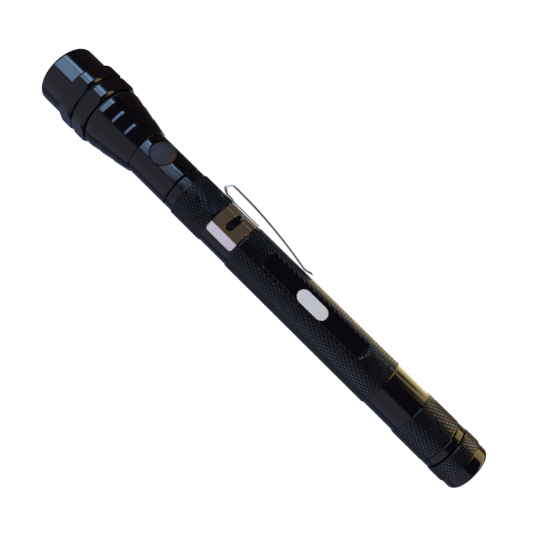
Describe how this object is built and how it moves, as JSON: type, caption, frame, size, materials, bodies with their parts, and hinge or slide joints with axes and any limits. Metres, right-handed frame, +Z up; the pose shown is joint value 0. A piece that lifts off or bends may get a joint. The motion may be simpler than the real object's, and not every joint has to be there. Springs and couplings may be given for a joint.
{
  "type": "retractable flashlight",
  "caption": "Slim black flashlight with a hexagonal bezel, side push button and pocket clip, whose head pulls out of a knurled handle on a telescopic mast with a bending neck.",
  "frame": {"origin": "centre of the tail magnet's flat outer face", "axes": "+X along the axis from the tail to the front of the head, +Z up with two flats of the hexagonal bezel facing up and down, -Y towards the clip's side"},
  "size_m": [0.17, 0.023, 0.0208],
  "materials": {
    "anodised": "glossy black anodising, diamond knurl on the grips",
    "chrome": "polished",
    "brass": "satin",
    "magnet": "nickel plated",
    "cell": "satin steel can",
    "rubber": "matte",
    "plastic": "moulded",
    "plate": "gloss",
    "board": "solder mask",
    "led": "water-clear epoxy"
  },
  "bodies": {
    "handle": {"body_tube": "anodised", "pocket_clip": "chrome", "tail_cap": "anodised", "tail_magnet": "magnet"},
    "mast_1": {"mast_section_1": "chrome", "mast_shoe_1": "brass"},
    "mast_2": {"mast_section_2": "chrome", "mast_shoe_2": "brass"},
    "mast_3": {"mast_section_3": "chrome", "mast_shoe_3": "brass"},
    "mast_4": {"mast_section_4": "chrome", "mast_shoe_4": "brass"},
    "mast_5": {"mast_section_5": "chrome", "mast_shoe_5": "brass"},
    "mast_6": {"mast_section_6": "chrome", "mast_shoe_6": "brass"},
    "neck_base": {"neck_rear_ferrule": "chrome"},
    "link_1": {"neck_link_1": "chrome"},
    "link_2": {"neck_link_2": "chrome"},
    "link_3": {"neck_link_3": "chrome"},
    "link_4": {"neck_link_4": "chrome"},
    "link_5": {"neck_link_5": "chrome"},
    "link_6": {"neck_link_6": "chrome"},
    "link_7": {"neck_link_7": "chrome"},
    "link_8": {"neck_link_8": "chrome"},
    "head": {"neck_front_ferrule": "chrome", "head_plug": "anodised", "head_body": "anodised", "head_bezel": "anodised", "bezel_o_ring": "rubber", "led_plate": "plate", "led_board": "board", "led_1": "led", "led_2": "led", "led_3": "led", "head_magnet": "magnet", "front_contact": "brass", "cell_1": "cell", "cell_2": "cell", "cell_3": "cell", "cell_4": "cell", "cell_sleeve": "plastic", "rear_contact": "brass", "switch_tray": "plastic", "switch_body": "plastic"},
    "button": {"button_cap": "rubber", "switch_plunger": "plastic"}
  },
  "joints": [
    {"name": "mast_slide_1", "type": "slide", "parent": "handle", "child": "mast_1", "axis": [1, 0, 0], "range_m": [0, 0.0975]},
    {"name": "mast_slide_2", "type": "slide", "parent": "mast_1", "child": "mast_2", "axis": [1, 0, 0], "range_m": [0, 0.0565]},
    {"name": "mast_slide_3", "type": "slide", "parent": "mast_2", "child": "mast_3", "axis": [1, 0, 0], "range_m": [0, 0.0565]},
    {"name": "mast_slide_4", "type": "slide", "parent": "mast_3", "child": "mast_4", "axis": [1, 0, 0], "range_m": [0, 0.0565]},
    {"name": "mast_slide_5", "type": "slide", "parent": "mast_4", "child": "mast_5", "axis": [1, 0, 0], "range_m": [0, 0.0565]},
    {"name": "mast_slide_6", "type": "slide", "parent": "mast_5", "child": "mast_6", "axis": [1, 0, 0], "range_m": [0, 0.0565]},
    {"name": "neck_swivel", "type": "hinge", "parent": "mast_6", "child": "neck_base", "pos_m": [0.0775, 0, 0], "axis": [1, 0, 0], "continuous": true},
    {"name": "neck_bend_1", "type": "hinge", "parent": "neck_base", "child": "link_1", "pos_m": [0.0829, 0, 0], "axis": [0, -1, 0], "range_deg": [0, 8]},
    {"name": "neck_bend_2", "type": "hinge", "parent": "neck_base", "child": "link_2", "pos_m": [0.08465, 0, 0.00012], "axis": [0, -1, 0], "range_deg": [0, 16]},
    {"name": "neck_bend_3", "type": "hinge", "parent": "neck_base", "child": "link_3", "pos_m": [0.0864, 0, 0.00033], "axis": [0, -1, 0], "range_deg": [0, 24]},
    {"name": "neck_bend_4", "type": "hinge", "parent": "neck_base", "child": "link_4", "pos_m": [0.08815, 0, 0.00061], "axis": [0, -1, 0], "range_deg": [0, 32]},
    {"name": "neck_bend_5", "type": "hinge", "parent": "neck_base", "child": "link_5", "pos_m": [0.0899, 0, 0.00099], "axis": [0, -1, 0], "range_deg": [0, 40]},
    {"name": "neck_bend_6", "type": "hinge", "parent": "neck_base", "child": "link_6", "pos_m": [0.09165, 0, 0.00144], "axis": [0, -1, 0], "range_deg": [0, 48]},
    {"name": "neck_bend_7", "type": "hinge", "parent": "neck_base", "child": "link_7", "pos_m": [0.0934, 0, 0.00199], "axis": [0, -1, 0], "range_deg": [0, 56]},
    {"name": "neck_bend_8", "type": "hinge", "parent": "neck_base", "child": "link_8", "pos_m": [0.09515, 0, 0.00262], "axis": [0, -1, 0], "range_deg": [0, 64]},
    {"name": "neck_bend_9", "type": "hinge", "parent": "neck_base", "child": "head", "pos_m": [0.0969, 0, 0.00335], "axis": [0, -1, 0], "range_deg": [0, 72]},
    {"name": "button_press", "type": "slide", "parent": "head", "child": "button", "axis": [0, 0.6157, -0.788], "range_m": [0, 0.0008], "stiffness_N_per_m": 1500}
  ],
  "couplings": [
    {"joint": "neck_bend_1", "follows": "mast_slide_6", "rad_per_m": 2.4712},
    {"joint": "neck_bend_2", "follows": "mast_slide_6", "rad_per_m": 4.9424},
    {"joint": "neck_bend_3", "follows": "mast_slide_6", "rad_per_m": 7.4136},
    {"joint": "neck_bend_4", "follows": "mast_slide_6", "rad_per_m": 9.8848},
    {"joint": "neck_bend_5", "follows": "mast_slide_6", "rad_per_m": 12.356},
    {"joint": "neck_bend_6", "follows": "mast_slide_6", "rad_per_m": 14.827},
    {"joint": "neck_bend_7", "follows": "mast_slide_6", "rad_per_m": 17.298},
    {"joint": "neck_bend_8", "follows": "mast_slide_6", "rad_per_m": 19.77},
    {"joint": "neck_bend_9", "follows": "mast_slide_6", "rad_per_m": 22.241}
  ]
}
